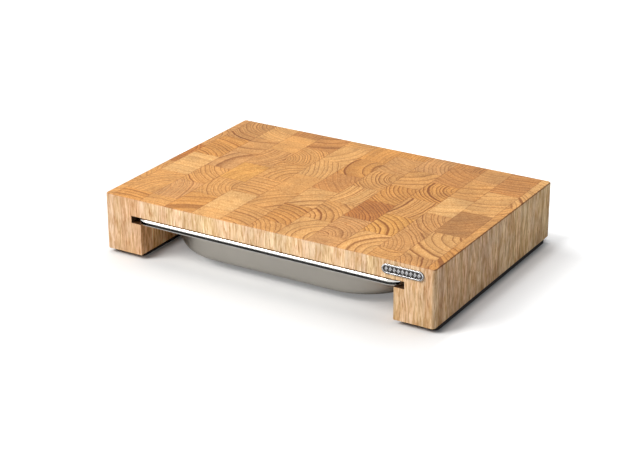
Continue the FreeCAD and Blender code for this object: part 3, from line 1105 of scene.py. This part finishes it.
@dataclass
class FrontBadge:
    """Plain metal badge with a row of lozenges, stuck to the front face on a foam pad."""

    border: float = 1.5 * MM
    recess: float = 0.6 * MM
    edge: float = 0.25 * MM
    edge_steps: int = 4
    lozenge_count: int = 9
    lozenge_margin: float = 0.4 * MM
    lozenge_height: float = 0.4 * MM
    lozenge_top: float = 0.82  # the flat top's share of the foot
    lozenge_gap: float = 0.3 * MM
    pad_bulge: float = 0.03 * MM
    steps: int = 14
    foam: SoftBlack = SoftBlack("foam_pad", (76, 74, 72), (98, 96, 92), 0.8, 2600.0)

    def stadiums(self, half: Vector, rows: Sequence[tuple[float, float]]) -> list[Loop]:
        """Loops with half-round ends, one for each pair of inset and depth."""
        return [
            rounded_loop(half.x - inset, half.z - inset, half.z - inset, depth, self.steps) for inset, depth in rows
        ]

    @staticmethod
    def on_front(low: Vector, high: Vector) -> Placing:
        """Puts a point of a part, given across, up and out from the board's front, in the frame."""
        middle = (low + high) / 2
        return lambda x, z, depth: Vector((x + middle.x, high.y - depth, z + middle.z))

    def build(self) -> None:
        """Builds the plate and the pad and hands them over."""
        low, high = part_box("badge_plate")
        half, thick = (high - low) / 2, high.y - low.y
        floor = thick - self.recess
        rounding = quarter_round(self.edge, self.edge_steps)
        rows = [(0.0, 0.0)] + [(inward, thick - down) for down, inward in rounding]
        rows += [(self.border - outward, thick - down) for down, outward in rounding[::-1]] + [(self.border, floor)]
        form = bmesh.new()
        place = self.on_front(low, high)
        skin(form, self.stadiums(half, rows), place)
        field_half = half.z - self.border
        row = 2 * (half.x - self.border - field_half)
        pitch = row / (self.lozenge_count - 1)
        reach, rise = (pitch - self.lozenge_gap) / 2, field_half - self.lozenge_margin
        corners = ((reach, 0.0), (0.0, rise), (-reach, 0.0), (0.0, -rise))
        levels = ((1.0, floor - self.edge), (1.0, floor), (self.lozenge_top, floor + self.lozenge_height))
        for number in range(self.lozenge_count):
            across = number * pitch - row / 2
            rings = [[(across + a * share, b * share, depth) for a, b in corners] for share, depth in levels]
            skin(form, rings, place)
        proud = form.verts.layers.float.new("proud")
        for vert in form.verts:
            vert[proud] = (high.y - vert.co.y - floor) / self.lozenge_height
        plate = finished(form, "badge_face", BadgeMetal().material(), sharp_degrees=30.0)
        hand_over(plate, "board", "badge_metal", "badge_plate")

        low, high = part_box("badge_adhesive_pad")
        thick = high.y - low.y
        rows = ((self.pad_bulge, 0.0), (0.0, thick / 2), (self.pad_bulge, thick))
        form = bmesh.new()
        skin(form, self.stadiums((high - low) / 2, rows), self.on_front(low, high))
        pad = finished(form, "badge_foam_pad", self.foam.material())
        hand_over(pad, "board", "badge_adhesive", "badge_adhesive_pad")


# ---- studio

class Lamp(NamedTuple):
    """Soft square lamp that looks at the board."""

    name: str
    place: Triple
    size: float
    power: float  # watts


@dataclass
class Studio:
    """Pale floor, soft lights and the camera."""

    azimuth: float = math.radians(30.83)  # camera's place, from the front towards the right
    elevation: float = math.radians(23.02)
    distance: float = 1.8765
    shift_right: float = -0.01088
    shift_up: float = 0.00759
    aim_height: float = 0.005
    focal_pixels: float = 1736.5
    image_width: float = 640.0
    sensor: float = 36.0
    far_clip: float = 50.0
    floor_reach: float = 4.0
    floor_squares: int = 24
    lamps: tuple[Lamp, ...] = (
        Lamp("key", (-1.3, -1.5, 1.7), 1.3, 67.0), Lamp("top", (-0.2, 0.5, 1.9), 1.6, 15.0)
    )
    lamp_tint: Triple = (1.0, 0.975, 0.94)
    card: Step = Step(-0.25, -0.05, 1.0, 0.0)  # bright in metal, in front of the board
    world_fill: float = 0.41
    world_tint: Triple = (0.93, 0.99, 1.06)

    def build(self) -> None:
        """Builds the floor, the world, the lights and the camera."""
        self.floor()
        self.world()
        self.lights()
        self.camera()
        bpy.context.scene.view_settings.view_transform = "Standard"

    def floor(self) -> None:
        """Lays the wide floor."""
        form = bmesh.new()
        squares = self.floor_squares
        bmesh.ops.create_grid(form, x_segments=squares, y_segments=squares, size=self.floor_reach)
        floor = finished(form, "studio_floor", PaleFloor().material())

    def world(self) -> None:
        """Sets a white surround, softer on the object than in view."""
        world = bpy.data.worlds.new("white_surround")
        bpy.context.scene.world = world
        world.use_nodes = True
        world.node_tree.nodes.clear()
        graph = Graph(world.node_tree)
        light_path = graph.node("LightPath")
        ahead = graph.parts(graph.node("TexCoord")["Generated"])[1]
        card = ahead.step(*self.card) * light_path["Is Glossy Ray"]
        in_view = graph.number("MAXIMUM", light_path["Is Camera Ray"], card)
        feeds = {
            "Color": graph.blend(in_view, self.world_tint, (1.0, 1.0, 1.0)),
            "Strength": in_view.step(0.0, 1.0, self.world_fill, 1.0),
        }
        graph.node("OutputWorld", {"Surface": graph.node("Background", feeds)[0]})

    def lights(self) -> None:
        """Hangs the lamps."""
        for lamp in self.lamps:
            light = bpy.data.lights.new(lamp.name, "AREA")
            light.size, light.energy, light.color = lamp.size, lamp.power, self.lamp_tint
            hung = bpy.data.objects.new(lamp.name, light)
            hung.location = lamp.place
            hung.rotation_euler = (-Vector(lamp.place)).to_track_quat("-Z", "Y").to_euler()
            bpy.context.scene.collection.objects.link(hung)

    def camera(self) -> None:
        """Places the camera."""
        turn = Matrix.Rotation(self.azimuth, 4, "Z") @ Matrix.Rotation(math.pi / 2 - self.elevation, 4, "X")
        place = turn @ Vector((self.shift_right, self.shift_up, self.distance))
        place.z += self.aim_height
        lens = bpy.data.cameras.new("camera")
        lens.sensor_fit = "HORIZONTAL"
        lens.sensor_width = self.sensor
        lens.lens = self.focal_pixels * self.sensor / self.image_width
        lens.clip_end = self.far_clip
        camera = bpy.data.objects.new("camera", lens)
        camera.matrix_world = Matrix.Translation(place) @ turn
        bpy.context.scene.collection.objects.link(camera)
        bpy.context.scene.camera = camera


# ---- all together


def main() -> None:
    """Builds each sub-assembly in order, then the studio."""
    logging.basicConfig(level=logging.INFO, format="%(name)s: %(message)s")
    for assembly in (Timber(), PressedTray(), AntiSlipStrips(), FrontBadge(), Studio()):
        assembly.build()


if __name__ == "__main__":
    main()
